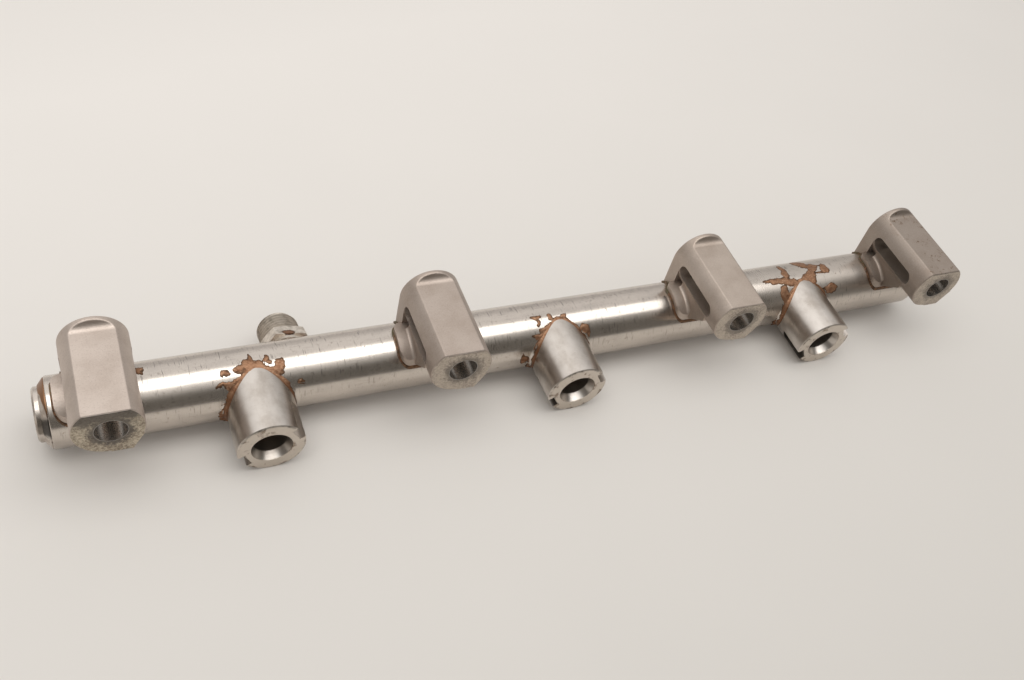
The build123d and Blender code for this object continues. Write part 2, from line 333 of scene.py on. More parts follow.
class RailColours(bpy.types.PropertyGroup):
    """Main colours of the rail and the studio."""

    tube_steel: FloatVectorProperty(
        name="Tube",
        description="Steel of the tube",
        default=linear(206, 197, 188),
        **COLOUR,
    )
    cup_steel: FloatVectorProperty(
        name="Cups",
        description="Steel of the injector cups",
        default=linear(212, 205, 198),
        **COLOUR,
    )
    # Painted light: one cast steel in four shades, each set for the light at its lug
    cast_steel_1: FloatVectorProperty(
        name="Lug 1",
        description="Cast steel of the first lug",
        default=linear(202, 189, 179),
        **COLOUR,
    )
    cast_steel_2: FloatVectorProperty(
        name="Lug 2",
        description="Cast steel of the second lug",
        default=linear(184, 171, 161),
        **COLOUR,
    )
    cast_steel_3: FloatVectorProperty(
        name="Lug 3",
        description="Cast steel of the third lug",
        default=linear(189, 176, 165),
        **COLOUR,
    )
    cast_steel_4: FloatVectorProperty(
        name="Lug 4",
        description="Cast steel of the fourth lug",
        default=linear(166, 154, 144),
        **COLOUR,
    )
    plug_steel: FloatVectorProperty(
        name="Plugs",
        description="Steel of the end plugs",
        default=linear(206, 197, 189),
        **COLOUR,
    )
    hex_steel: FloatVectorProperty(
        name="Hexagon",
        description="Steel of the inlet's hexagon",
        default=linear(226, 216, 204),
        **COLOUR,
    )
    thread_steel: FloatVectorProperty(
        name="Thread",
        description="Steel of the inlet's thread",
        default=linear(196, 186, 174),
        **COLOUR,
    )
    copper: FloatVectorProperty(
        name="Copper",
        description="Main colour of the braze",
        default=linear(148, 111, 84),
        **COLOUR,
    )
    # Red copper serves the redder clouds and also the painted shade low on the copper
    copper_red_and_shade: FloatVectorProperty(
        name="Red copper",
        description="Redder clouds in the braze",
        default=linear(120, 82, 57),
        **COLOUR,
    )
    # Painted glints: the bright grains in the braze
    copper_glint: FloatVectorProperty(
        name="Light copper",
        description="Bright grains in the braze",
        default=linear(198, 166, 140),
        **COLOUR,
    )
    copper_dark: FloatVectorProperty(
        name="Dark copper",
        description="Edges and dark grains of the braze",
        default=linear(74, 54, 38),
        **COLOUR,
    )
    # The near and far floor are the two ends of a painted falloff of light
    floor_near: FloatVectorProperty(
        name="Near floor",
        description="Floor in front",
        default=linear(208, 203, 196),
        **COLOUR,
    )
    floor_pale: FloatVectorProperty(
        name="Far floor",
        description="Floor at the back, and all beyond it",
        default=linear(240, 234, 227),
        **COLOUR,
    )


class Wire:
    """An output socket that takes part in arithmetic by adding Math nodes."""

    def __init__(self, tree, node, index=0):
        self.tree = tree
        self.node = node
        self.socket = node.outputs[index]

    def output(self, index):
        """Another output of the same node."""
        return Wire(self.tree, self.node, index)

    def math(self, operation, *operands):
        """A Math node on the operands."""
        node = self.tree.nodes.new("ShaderNodeMath")
        node.operation = operation
        for socket, operand in zip(node.inputs, operands):
            connect(self.tree, socket, operand)
        return Wire(self.tree, node)

    def __add__(self, other):
        return self.math("ADD", self, other)

    def __radd__(self, other):
        return self.math("ADD", other, self)

    def __sub__(self, other):
        return self.math("SUBTRACT", self, other)

    def __rsub__(self, other):
        return self.math("SUBTRACT", other, self)

    def __mul__(self, other):
        return self.math("MULTIPLY", self, other)

    def __rmul__(self, other):
        return self.math("MULTIPLY", other, self)

    def __truediv__(self, other):
        return self.math("DIVIDE", self, other)

    def __pow__(self, other):
        return self.math("POWER", self, other)

    def size(self):
        """The value without its sign."""
        return self.math("ABSOLUTE", self)


def connect(tree, socket, value):
    """Link a wire to a socket, or set the socket's own value."""
    if isinstance(value, Wire):
        tree.links.new(value.socket, socket)
    else:
        socket.default_value = value


class Graph:
    """The node tree of a material or a world, with the colours that a user can change."""

    def __init__(self, owner):
        self.colours = bpy.context.scene.fuel_rail_colours
        owner.use_nodes = True
        self.tree = owner.node_tree
        self.tree.nodes.clear()

    def add(self, kind, settings=None, inputs=None, output=0):
        """A node with its settings, then its inputs, as the wire of one output."""
        node = self.tree.nodes.new(kind)
        for name, value in (settings or {}).items():
            setattr(node, name, value)
        for socket, value in (inputs or {}).items():
            connect(self.tree, node.inputs[socket], value)
        return Wire(self.tree, node, output) if node.outputs else None

    def point(self):
        """Object coordinates in millimetres, as three wires."""
        place = self.add("ShaderNodeTexCoord", output="Object")
        split = self.add("ShaderNodeSeparateXYZ", inputs={0: place})
        return [split.output(axis) * 1000 for axis in range(3)]

    def vector(self, x, y, z=0.0):
        """A vector from three values."""
        return self.add("ShaderNodeCombineXYZ", inputs={0: x, 1: y, 2: z})

    def noise(self, vector, scale=1.0, detail=3.0, roughness=0.5):
        """Noise from 0 to 1."""
        values = {"Vector": vector, "Scale": scale, "Detail": detail, "Roughness": roughness}
        return self.add("ShaderNodeTexNoise", inputs=values)

    def fade(self, value, start, end):
        """Smooth step from 0 at start to 1 at end."""
        values = {"Value": value, "From Min": start, "From Max": end}
        return self.add("ShaderNodeMapRange", {"interpolation_type": "SMOOTHSTEP"}, values)

    def ramp(self, value, start, end):
        """Straight rise from 0 at start to 1 at end."""
        values = {"Value": value, "From Min": start, "From Max": end}
        return self.add("ShaderNodeMapRange", inputs=values)

    def blend(self, factor, first, second):
        """Mix of two colours."""
        return self.add("ShaderNodeMix", {"data_type": "RGBA"}, {0: factor, 6: first, 7: second}, 2)

    def distance(self, x, z, middle_x=0.0, middle_z=0.0):
        """Distance from an axis that runs along Y."""
        return ((x - middle_x) ** 2 + (z - middle_z) ** 2) ** 0.5

    def finish(self, colour, roughness, metallic=1.0, relief=None, extra=None):
        """Principled surface with relief in millimetres, as the tree's output."""
        values = {"Base Color": colour, "Roughness": roughness, "Metallic": metallic}
        values.update(extra or {})
        if relief is not None:
            bump = {"Height": relief, "Strength": 1.0, "Distance": 0.001}
            values["Normal"] = self.add("ShaderNodeBump", inputs=bump)
        surface = self.add("ShaderNodeBsdfPrincipled", inputs=values)
        self.add("ShaderNodeOutputMaterial", inputs={"Surface": surface})


def new_material(name):
    """An empty material and its graph."""
    material = bpy.data.materials.new(name)
    return material, Graph(material)


def dress(name, material):
    """Give a node of the frame a material on all of its slots."""
    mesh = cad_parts[name].data
    mesh.materials.clear()
    mesh.materials.append(material)


def ellipse(graph, place, x, arc, half_length, half_width, turn):
    """Rough distance in millimetres from the edge of an ellipse, negative inside it."""
    values = {
        "Vector": place,
        "Location": (x, arc, 0.0),
        "Rotation": (0.0, 0.0, radians(turn)),
        "Scale": (half_length, half_width, 1.0),
    }
    local = graph.add("ShaderNodeMapping", {"vector_type": "TEXTURE"}, values)
    length = graph.add("ShaderNodeVectorMath", {"operation": "LENGTH"}, {0: local}, "Value")
    return (length - 1.0) * half_width


def copper_colour(graph, x, y, z, depth):
    """Copper that darkens at its edge, where depth is 0 millimetres, with painted glints and
    painted shade low down.
    """
    colours = graph.colours
    cloud = graph.noise(graph.vector(x, y, z), 0.7, 4.0, 0.6)
    grain = graph.noise(graph.vector(x, y, z), 1.8, 4.0, 0.7)
    colour = graph.blend(graph.fade(cloud, 0.4, 0.7), colours.copper, colours.copper_red_and_shade)
    # Painted shade: below 8 mm height the copper is darkened towards the red copper.
    colour = graph.blend(graph.fade(z, 8.0, 4.0) * 0.55, colour, colours.copper_red_and_shade)
    # Painted glints: bright grains scattered through the copper.
    colour = graph.blend(graph.fade(grain, 0.56, 0.72) * 0.8, colour, colours.copper_glint)
    colour = graph.blend(graph.fade(grain, 0.42, 0.3) * 0.5, colour, colours.copper_dark)
    return graph.blend(graph.fade(depth, 0.5, 0.05) * 0.9, colour, colours.copper_dark)


def make_tube_material():
    """Steel polished round the tube, duller between the third lug and the third cup."""
    material, graph = new_material("tube_steel")
    x, y, z = graph.point()
    arc = x.math("ARCTAN2", z, TUBE_Y - y) * TUBE_RADIUS
    fine = graph.noise(graph.vector(x * 5, y * 0.25, z * 0.25), 1.0, 4.0, 0.7)
    broad = graph.noise(graph.vector(x * 0.9, y * 0.05, z * 0.05), 1.0, 3.0, 0.6)
    streaks = graph.noise(graph.vector(x * 0.12, arc * 1.6), 1.0, 4.0, 0.65)
    cloud = graph.noise(graph.vector(x * 0.05, y * 0.12, z * 0.12), 1.0, 4.0, 0.6)
    specks = graph.fade(graph.noise(graph.vector(x * 0.8, y * 0.8, z * 0.8), 1.0, 2.0), 0.70, 0.76)
    dull = graph.fade(x, 72, 96)
    scratches = graph.noise(graph.vector(x * 2.2, arc * 0.16), 1.0, 2.0, 0.6)
    grime = graph.noise(graph.vector(x * 0.5, arc * 0.5), 1.0, 5.0, 0.7)
    steel = graph.blend(graph.fade(cloud, 0.4, 0.75), graph.colours.tube_steel, TUBE_DULL)
    steel = graph.blend(graph.fade(fine, 0.55, 0.8) * 0.3, steel, TUBE_GRAIN)
    steel = graph.blend(graph.fade(streaks, 0.55, 0.8) * 0.35, steel, TUBE_STREAK)
    steel = graph.blend(specks * 0.55, steel, STAIN_BROWN)
    scratched = graph.fade(scratches, 0.61, 0.7) * graph.fade(arc, -1.0, 3.0)
    steel = graph.blend(scratched * 0.5, steel, STAIN_AND_SHADE_BLACK)
    steel = graph.blend(graph.fade(grime, 0.56, 0.72) * 0.4, steel, TUBE_GRIME)
    roughness = 0.2 + (fine - 0.5) * 0.12 + (broad - 0.5) * 0.1 + dull * 0.12 + (grime - 0.5) * 0.1
    graph.finish(steel, roughness, 1.0, fine * 0.006 + broad * 0.008)
    return material


def make_cup_material(number):
    """Fine turned steel with stains on the rim, and painted shade deep in the bore and in the left
    groove.
    """
    material, graph = new_material(f"turned_steel_{number}")
    x, y, z = graph.point()
    local_x = x - CUP_PLACES[number]
    out = graph.distance(local_x, z)
    rings = graph.noise(graph.vector(local_x * 0.12, y * 4, z * 0.12), 1.0, 4.0, 0.65)
    face_rings = graph.noise(graph.vector(out * 5, y * 0.5, 0.0), 1.0, 3.0, 0.6)
    cloud = graph.noise(graph.vector(x * 0.18, y * 0.12, z * 0.18), 1.0, 4.0, 0.6)
    end = graph.fade(y, CUP_END + 0.35, CUP_END + 0.1)
    stain = graph.noise(graph.vector(x * 0.35, y * 0.3, z * 0.35), 1.0, 5.0, 0.65)
    rim_line = graph.fade(out, CUP_RADIUS - 1.1, CUP_RADIUS - 0.4)
    steel = graph.blend(graph.fade(cloud, 0.35, 0.75), graph.colours.cup_steel, CUP_DULL)
    steel = graph.blend(graph.fade(rings, 0.55, 0.8) * 0.2, steel, CUP_RINGS)
    steel = graph.blend(end * 0.8, steel, CUP_RIM)
    steel = graph.blend(end * graph.fade(stain, 0.54, 0.66) * 0.7, steel, STAIN_BROWN)
    steel = graph.blend(end * rim_line * graph.fade(stain, 0.45, 0.6) * 0.45, steel, STAIN_AND_SHADE_BLACK)
    # Painted shade: the bore turns darker beyond 2.5 mm in from the rim.
    bore = graph.fade(out, 5.45, 5.25) * graph.fade(y, CUP_END + 2.5, CUP_END + 3.2)
    steel = graph.blend(bore, steel, CUP_BORE_SHADE)
    # Painted shade: the left groove is darkened, mottled, as shade in the notch.
    groove = graph.fade((z * cos(GROOVE_TURN) - local_x * sin(GROOVE_TURN)).size(), 2.62, 2.5)
    groove = groove * graph.fade(out, 8.0, 8.15) * graph.fade(out, CUP_RADIUS, CUP_RADIUS - 0.15)
    groove = groove * graph.fade(local_x, 0.0, -1.0) * graph.fade(stain, 0.3, 0.5)
    steel = graph.blend(groove * 0.5, steel, STAIN_AND_SHADE_BLACK)
    roughness = 0.3 + (rings - 0.5) * 0.15 + end * 0.14 + bore * 0.2
    graph.finish(steel, roughness, 1.0, rings * 0.004 + end * face_rings * 0.01)
    return material


def make_lug_material(number):
    """Blasted cast steel in a shade painted for the light at its lug, with a dirty front end and a
    smooth bolt hole.
    """
    material, graph = new_material(f"cast_steel_{number}")
    # Painted light: each lug takes the shade of cast steel set for its own light.
    steel = getattr(graph.colours, f"cast_steel_{number}")
    x, y, z = graph.point()
    cloud = graph.noise(graph.vector(x * 0.1, y * 0.1, z * 0.1), 1.0, 4.0, 0.6)
    grain = graph.noise(graph.vector(x, y, z), 2.2, 4.0, 0.7)
    pits = graph.noise(graph.vector(x, y, z), 1.1, 2.0, 0.5)
    mottle = graph.noise(graph.vector(x * 0.6, y * 0.6, z * 0.6), 1.0, 6.0, 0.7)
    patch = graph.noise(graph.vector(x, y, z + 20), 0.22, 3.0, 0.6)
    end = graph.fade(y, LUG_END + 0.12, LUG_END + 0.02)
    from_hole = graph.distance(x, z, LUG_PLACES[number], BOLT_HEIGHT)
    hole = graph.fade(from_hole, 4.75, 4.6)
    colour = graph.blend(graph.fade(cloud, 0.3, 0.8) * 0.25, steel, STAIN_BROWN)
    colour = graph.blend(graph.fade(grain, 0.5, 0.75) * 0.35, colour, CAST_GRAIN)
    colour = graph.blend(graph.fade(grain, 0.45, 0.25) * 0.3, colour, CAST_GLINT)
    speckle = graph.noise(graph.vector(x, y, z), 1.3, 5.0, 0.75)
    dirty = graph.fade(speckle + (patch - 0.5) * 0.4, 0.34, 0.62)
    soil = graph.blend(dirty, CAST_SOIL, CAST_DIRT)
    if number > 1:
        soil = graph.blend(0.45, soil, graph.colours.cast_steel_2)
    near = graph.fade(from_hole + (mottle - 0.5) * 7 + (speckle - 0.5) * 3, 7.6, 5.0)
    if number == 1:
        band = graph.fade(z + (mottle - 0.5) * 6 + (patch - 0.5) * 9, 22.5, 26.0)
        near = near.math("MAXIMUM", near, band)
    soil = graph.blend(near * (0.85 if number == 1 else 0.6), soil, CAST_SOOT)
    soil = graph.blend(graph.fade(grain, 0.6, 0.7) * 0.6, soil, STAIN_BROWN)
    soil = graph.blend(graph.fade(z + (mottle - 0.5) * 0.8, 27.6, 27.95) * 0.8, soil, STAIN_AND_SHADE_BLACK)
    colour = graph.blend(end, colour, soil)
    colour = graph.blend(hole * 0.8, colour, HOLE_STEEL)
    dirt = end * dirty
    if number == 4:
        stain = graph.fade(mottle, 0.54, 0.62) * graph.fade(z, 27.0, 28.0) * (1.0 - end)
        colour = graph.blend(stain * graph.fade(patch, 0.45, 0.55) * 0.8, colour, STAIN_BROWN)
    roughness = 0.5 + (grain - 0.5) * 0.15 - hole * 0.22 + end * 0.1
    relief = grain * 0.025 + graph.fade(pits, 0.62, 0.75) * -0.03 + dirt * 0.06
    graph.finish(colour, roughness, 0.92 - end * (1.0 - hole) * 0.6, relief * (1.0 - hole))
    return material


def make_braze_material():
    """Oxidised copper round the inlet."""
    material, graph = new_material("braze")
    x, y, z = graph.point()
    mottle = graph.noise(graph.vector(x, y, z), 0.9, 4.0, 0.65)
    lumps = graph.noise(graph.vector(x, y, z), 1.6, 3.0, 0.6)
    colour = copper_colour(graph, x, y, z, mottle * 1.2)
    graph.finish(colour, 0.36 + mottle * 0.2, 0.7, lumps * 0.12)
    return material


def make_cup_braze_material(number):
    """Copper round a cup, thinning out to bare steel where it meets the tube."""
    material, graph = new_material(f"braze_cup_{number}")
    x, y, z = graph.point()
    local_x = x - CUP_PLACES[number]
    low, high = COPPER_WIDTHS[number]
    sway = graph.noise(graph.vector(x, y, z), 0.35, 3.0, 0.6)
    lumps = graph.noise(graph.vector(x, y, z), 1.6, 3.0, 0.6)
    width = low + graph.fade(z, 4.0, 9.0) * (high - low) - graph.fade(local_x, 0.0, 8.0) * 0.4
    depth = width + (sway - 0.5) * 2.2 - graph.distance(local_x, z) + CUP_RADIUS
    copper = graph.fade(depth, -0.05, 0.1)
    colour = graph.blend(copper, graph.colours.tube_steel, copper_colour(graph, x, y, z, depth))
    roughness = 0.24 + copper * 0.1 + (lumps - 0.3) * copper * 0.2
    graph.finish(colour, roughness, 1.0 - copper * 0.3, lumps * copper * 0.12)
    return material


def make_lug_braze_material():
    """Thin dark line of copper at the foot of a lug, greener on top of the tube."""
    material, graph = new_material("braze_dark")
    x, y, z = graph.point()
    mottle = graph.noise(graph.vector(x, y, z), 0.9, 4.0, 0.65)
    top = graph.fade(y, TUBE_Y - 5, TUBE_Y + 1)
    colour = graph.blend(graph.fade(mottle, 0.35, 0.65), FOOT_COPPER, FOOT_DARK)
    colour = graph.blend(top * graph.fade(mottle, 0.4, 0.6), colour, FOOT_GREEN)
    colour = graph.blend(top * graph.fade(mottle, 0.45, 0.3) * 0.7, colour, FOOT_BARE)
    graph.finish(colour, 0.38 + mottle * 0.2, 0.75, mottle * 0.2)
    return material


def make_plug_braze_material():
    """Bright cone between plug and tube, with copper left on top and a thin line at the tube."""
    material, graph = new_material("braze_plug")
    x, y, z = graph.point()
    out = graph.distance(y, z, TUBE_Y)
    mottle = graph.noise(graph.vector(x, y, z), 0.5, 4.0, 0.6)
    turn = z.math("ARCTAN2", z, TUBE_Y - y) * (180 / pi)
    inner_edge = 10.8 - graph.ramp(turn, 42, 125) * 2.7 + (mottle - 0.5) * 0.8
    copper = graph.fade(out - inner_edge, -0.15, 0.1)
    swaying = turn + (mottle - 0.5) * 20
    soot = graph.fade(swaying, 50, 38) * graph.fade(swaying, 2, 14)
    steel = graph.blend(graph.fade(mottle, 0.4, 0.7), graph.colours.tube_steel, CONE_DULL)
    brown = graph.blend(graph.fade(turn, 40, 80), graph.colours.copper_dark, CONE_COPPER)
    colour = graph.blend(copper, steel, brown)
    colour = graph.blend(soot * 0.92, colour, STAIN_AND_SHADE_BLACK)
    graph.finish(colour, 0.3 + mottle * 0.15, 0.9, mottle * 0.1)
    return material


def make_splash_material():
    """Copper that ran out over the tube, with a dark outline."""
    material, graph = new_material("braze_splash")
    x, y, z = graph.point()
    depth = graph.add("ShaderNodeAttribute", {"attribute_name": "depth"}, output="Fac")
    lumps = graph.noise(graph.vector(x, y, z), 1.6, 3.0, 0.6)
    colour = copper_colour(graph, x, y, z, depth)
    graph.finish(colour, 0.34 + lumps * 0.2, 0.7, lumps * 0.1)
    return material


def make_plug_material():
    """Bright turned plug with soot low on its side."""
    material, graph = new_material("plug_steel")
    x, y, z = graph.point()
    out = graph.distance(y, z, TUBE_Y)
    rings = graph.noise(graph.vector(x * 4, out * 4, 0.0), 1.0, 3.0, 0.6)
    cloud = graph.noise(graph.vector(x * 0.3, y * 0.3, z * 0.3), 1.0, 4.0, 0.6)
    turn = z.math("ARCTAN2", z, TUBE_Y - y) * (180 / pi) + (cloud - 0.5) * 30
    soot = graph.fade(turn, 42, 30) * graph.fade(turn, 0, 12) * graph.fade(out, 7.5, 8.5)
    colour = graph.blend(graph.fade(cloud, 0.4, 0.7), graph.colours.plug_steel, PLUG_DULL)
    colour = graph.blend(soot * 0.7, colour, PLUG_SOOT)
    graph.finish(colour, 0.24 + (rings - 0.5) * 0.15 + soot * 0.15, 1.0, rings * 0.006)
    return material


def make_inlet_material(sizes):
    """Dull machined steel, darker in the thread, with a copper blot on the hexagon."""
    material, graph = new_material("fitting_steel")
    x, y, z = graph.point()
    slope = tan(sizes.droop)
    along = (y - TUBE_Y) * cos(sizes.droop) - z * sin(sizes.droop)
    threaded = graph.fade(along, sizes.hex_end * 1000 + 0.1, sizes.hex_end * 1000 + 0.8)
    cloud = graph.noise(graph.vector(x, y, z), 0.35, 4.0, 0.6)
    grain = graph.noise(graph.vector(x, y, z), 2.2, 3.0, 0.6)
    steel = graph.blend(graph.fade(cloud, 0.35, 0.7), graph.colours.hex_steel, HEX_DULL)
    steel = graph.blend(threaded, steel, graph.colours.thread_steel)
    steel = graph.blend(threaded * graph.fade(cloud, 0.45, 0.65) * 0.4, steel, THREAD_DIRT)
    place = graph.vector(x + (cloud - 0.5) * 2, along + (grain - 0.5) * 0.8)
    blot_x, blot_along = sizes.place * 1000 + 0.6, sizes.hex_start * 1000 + 0.9
    blot = ellipse(graph, place, blot_x, blot_along, 2.0, 1.3, 0)
    copper = graph.fade(blot, 0.15, -0.1) * graph.fade(z + (y - TUBE_Y) * slope, 2.0, 4.0)
    colour = graph.blend(copper, steel, copper_colour(graph, x, y, z, -1.0 * blot))
    roughness = 0.36 + (grain - 0.5) * 0.15 + threaded * 0.04
    graph.finish(colour, roughness, 0.8 - copper * 0.1, grain * 0.012 + copper * 0.1)
    return material


def make_floor_material():
    """Pale board with a painted falloff of light, brighter towards the back, and painted dark far
    in front, seen only where metal mirrors it.
    """
    material, graph = new_material("floor")
    x, y, z = graph.point()
    cloud = graph.noise(graph.vector(x, y, z), 0.012, 3.0, 0.5)
    # Painted light: the floor darkens towards the front and the right.
    pale = graph.ramp(y * 0.61 - x * 0.17 + (cloud - 0.5) * 30, -120, 150)
    colour = graph.blend(pale, graph.colours.floor_near, graph.colours.floor_pale)
    mirrored = graph.add("ShaderNodeLightPath", output="Is Glossy Ray")
    colour = graph.blend(mirrored * graph.fade(y, -110, -190), colour, FRONT_DARK)
    graph.finish(colour, 0.85, 0.0, extra={"Specular IOR Level": 0.2})
    return material


class InletShape:
    """Rings of vertices about the inlet's axis, grown one from the other."""

    def __init__(self, sizes):
        self.mesh = bmesh.new()
        self.sizes = sizes
        self.axis = Vector((0, cos(sizes.droop), -sin(sizes.droop)))
        self.side = Vector((1, 0, 0))
        self.up = self.axis.cross(self.side)
        self.start = Vector((sizes.place, TUBE_Y / 1000, 0))

    def put(self, angle, radius, along):
        """Point at an angle and a radius about the axis, at a distance along it."""
        out = self.side * cos(angle) + self.up * sin(angle)
        return self.start + self.axis * along + out * radius

    def read(self, point):
        """Angle, radius and distance along the axis of a point."""
        offset = point - self.start
        across, up = offset.dot(self.side), offset.dot(self.up)
        return atan2(up, across), hypot(across, up), offset.dot(self.axis)

    def move(self, vertices, rule):
        """Give each vertex the radius and distance that a rule makes of its own."""
        for vertex in vertices:
            angle, radius, along = self.read(vertex.co)
            radius, along = rule(angle, radius, along)
            vertex.co = self.put(angle, radius, along)

    def grow(self, edges, rule):
        """Extrude a ring of edges and move the new ring by a rule."""
        made = bmesh.ops.extrude_edge_only(self.mesh, edges=edges)["geom"]
        self.move([item for item in made if isinstance(item, bmesh.types.BMVert)], rule)
        return [item for item in made if isinstance(item, bmesh.types.BMEdge)]

    def to(self, radius, along):
        """Rule for a plain ring."""
        return lambda angle, old_radius, old_along: (radius, along)


def make_body(shape):
    """Collar, chamfered hexagon and neck; the rings at the foot and the neck's end."""
    sizes = shape.sizes
    half = sizes.hex_width / 2
    radius = sizes.collar_radius
    circle = bmesh.ops.create_circle(shape.mesh, segments=sizes.segments, radius=radius)
    for vertex in circle["verts"]:
        angle = atan2(vertex.co.y, vertex.co.x)
        vertex.co = shape.put(angle, radius, sizes.foot)
    foot = list({edge for vertex in circle["verts"] for edge in vertex.link_edges})

    def hexagon(angle, radius, along):
        turned = (angle - sizes.hex_turn) % (pi / 3) - pi / 6
        return half / cos(turned), along

    def chamfered(angle, radius, along):
        return radius, sizes.hex_end - HEX_CHAMFER_SLOPE * max(0.0, radius - half)

    ring = shape.grow(foot, shape.to(sizes.collar_radius, sizes.hex_start))
    ring = shape.grow(ring, hexagon)
    ring = shape.grow(ring, chamfered)
    ring = shape.grow(ring, shape.to(half - HEX_FACE_INSET, sizes.hex_end))
    ring = shape.grow(ring, shape.to(sizes.neck_radius + NECK_CORNER, sizes.hex_end))
    ring = shape.grow(ring, shape.to(sizes.neck_radius, sizes.hex_end + NECK_CORNER))
    neck = shape.grow(ring, shape.to(sizes.neck_radius, sizes.thread_start - NECK_CORNER))
    return foot, neck


def make_thread(shape):
    """Helical thread, a little longer than the fitting's at both ends."""
    sizes = shape.sizes
    pitch = sizes.thread_pitch
    root = sizes.neck_radius
    profile = ((0.0, root), (0.25, root), (0.56, sizes.thread_radius), (0.69, sizes.thread_radius))
    first = sizes.thread_start - 1.5 * pitch
    turns = round((sizes.thread_end - first) / pitch) + 2
    points = [
        (first + (turn + share) * pitch, radius)
        for turn in range(turns)
        for share, radius in profile
    ]
    vertices = [shape.mesh.verts.new(shape.put(0.0, radius, along)) for along, radius in points]
    edges = [shape.mesh.edges.new(pair) for pair in zip(vertices, vertices[1:])]
    bmesh.ops.spin(
        shape.mesh,
        geom=vertices + edges,
        cent=shape.start,
        axis=shape.axis,
        dvec=shape.axis * (pitch / sizes.segments),
        angle=2 * pi,
        steps=sizes.segments,
    )


def shade(mesh, sharp_angle):
    """Smooth shading, with sharp edges over an angle."""
    for face in mesh.faces:
        face.smooth = True
    for edge in mesh.edges:
        edge.smooth = len(edge.link_faces) == 2 and edge.calc_face_angle(0.0) < sharp_angle


def soft_least(first, second, reach):
    """The lesser of two distances, rounded where they are near each other."""
    share = max(reach - abs(first - second), 0.0) / reach
    return min(first, second) - share * share * reach / 4


def copper_edge(number, x, arc):
    """Distance in millimetres from the edge of the copper round a cup, negative inside it."""
    broad = [noise.noise(Vector((x, arc, number * 9 + shift)) * 0.45) for shift in (0, 4)]
    fine = [noise.noise(Vector((x, arc, number * 9 + shift)) * 1.5) for shift in (1, 6)]
    moved_x = x + 0.9 * broad[0] + 0.3 * fine[0]
    moved_arc = arc + 0.9 * broad[1] + 0.3 * fine[1]
    height = TUBE_RADIUS * sin(arc / TUBE_RADIUS)
    out = max(hypot(x, height), 0.1)
    slope = hypot(x, height * cos(arc / TUBE_RADIUS)) / out
    width = COPPER_WIDTHS[number][0] - 0.04 * x + 0.9 * broad[0] + 0.5 * fine[1]
    edge = max((out - CUP_RADIUS) / max(slope, 0.25) - width, abs(arc) - CUP_ARC)
    for blob_x, blob_arc, half_length, half_width, turn in SPLASHES[number]:
        across_x, across_arc = moved_x - blob_x, moved_arc - blob_arc
        turned_x, turned_arc = cos(radians(turn)), sin(radians(turn))
        along = (across_x * turned_x + across_arc * turned_arc) / half_length
        aside = (across_arc * turned_x - across_x * turned_arc) / half_width
        blob = (hypot(along, aside) - 1) * half_width
        edge = soft_least(edge, blob, 0.6)
    return edge


def make_splash(number):
    """Thin copper on the tube round a cup, cut from a grid along its wavering edge."""
    mesh = bmesh.new()
    depth_layer = mesh.verts.layers.float.new("depth")
    half_x, half_arc = SPLASH_HALF_SIZE
    middle_x, middle_arc = SPLASH_MIDDLE
    columns, rows = round(2 * half_x / SPLASH_CELL), round(2 * half_arc / SPLASH_CELL)
    bmesh.ops.create_grid(mesh, x_segments=columns, y_segments=rows, size=1.0)
    for vertex in mesh.verts:
        vertex.co = (vertex.co.x * half_x + middle_x, vertex.co.y * half_arc + middle_arc, 0)
        vertex.co.z = copper_edge(number, vertex.co.x, vertex.co.y)
    under = CUP_RADIUS - 0.6
    outside = []
    for face in mesh.faces:
        middle = face.calc_center_median()
        in_cup = hypot(middle.x, TUBE_RADIUS * sin(middle.y / TUBE_RADIUS)) < under
        in_cup = in_cup and abs(middle.y) < CUP_ARC
        if in_cup or min(vertex.co.z for vertex in face.verts) > 0:
            outside.append(face)
    bmesh.ops.delete(mesh, geom=outside, context="FACES")
    for vertex in mesh.verts:
        x, arc, edge = vertex.co
        for _ in range(EDGE_STEPS):
            if edge <= 0:
                break
            slope_x = (copper_edge(number, x + EDGE_STEP, arc) - edge) / EDGE_STEP
            slope_arc = (copper_edge(number, x, arc + EDGE_STEP) - edge) / EDGE_STEP
            share = edge / max(slope_x ** 2 + slope_arc ** 2, 0.25)
            x, arc = x - slope_x * share, arc - slope_arc * share
            edge = copper_edge(number, x, arc)
        depth = max(-edge, 0.0)
        rise = min(depth / FILM_RISE, 1.0)
        rise = rise * rise * (3 - 2 * rise)
        lump = 0.5 + 0.5 * noise.noise(Vector((x, arc, number * 9 + 2)) * 0.8)
        radius = TUBE_RADIUS - FILM_SINK + rise * (FILM_LEAST + FILM_LUMPS * lump)
        angle = arc / TUBE_RADIUS
        vertex[depth_layer] = depth
        vertex.co = (CUP_PLACES[number] + x, TUBE_Y - radius * cos(angle), radius * sin(angle))
    bmesh.ops.solidify(mesh, geom=list(mesh.faces), thickness=FILM_SOLID)
    bmesh.ops.scale(mesh, verts=mesh.verts, vec=(0.001, 0.001, 0.001))
    return mesh


def copy_solid(name):
    """Merged copy of a solid's mesh."""
    mesh = bmesh.new()
    mesh.from_mesh(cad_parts[name].data)
    bmesh.ops.remove_doubles(mesh, verts=mesh.verts, dist=MERGE_DISTANCE)
    return mesh


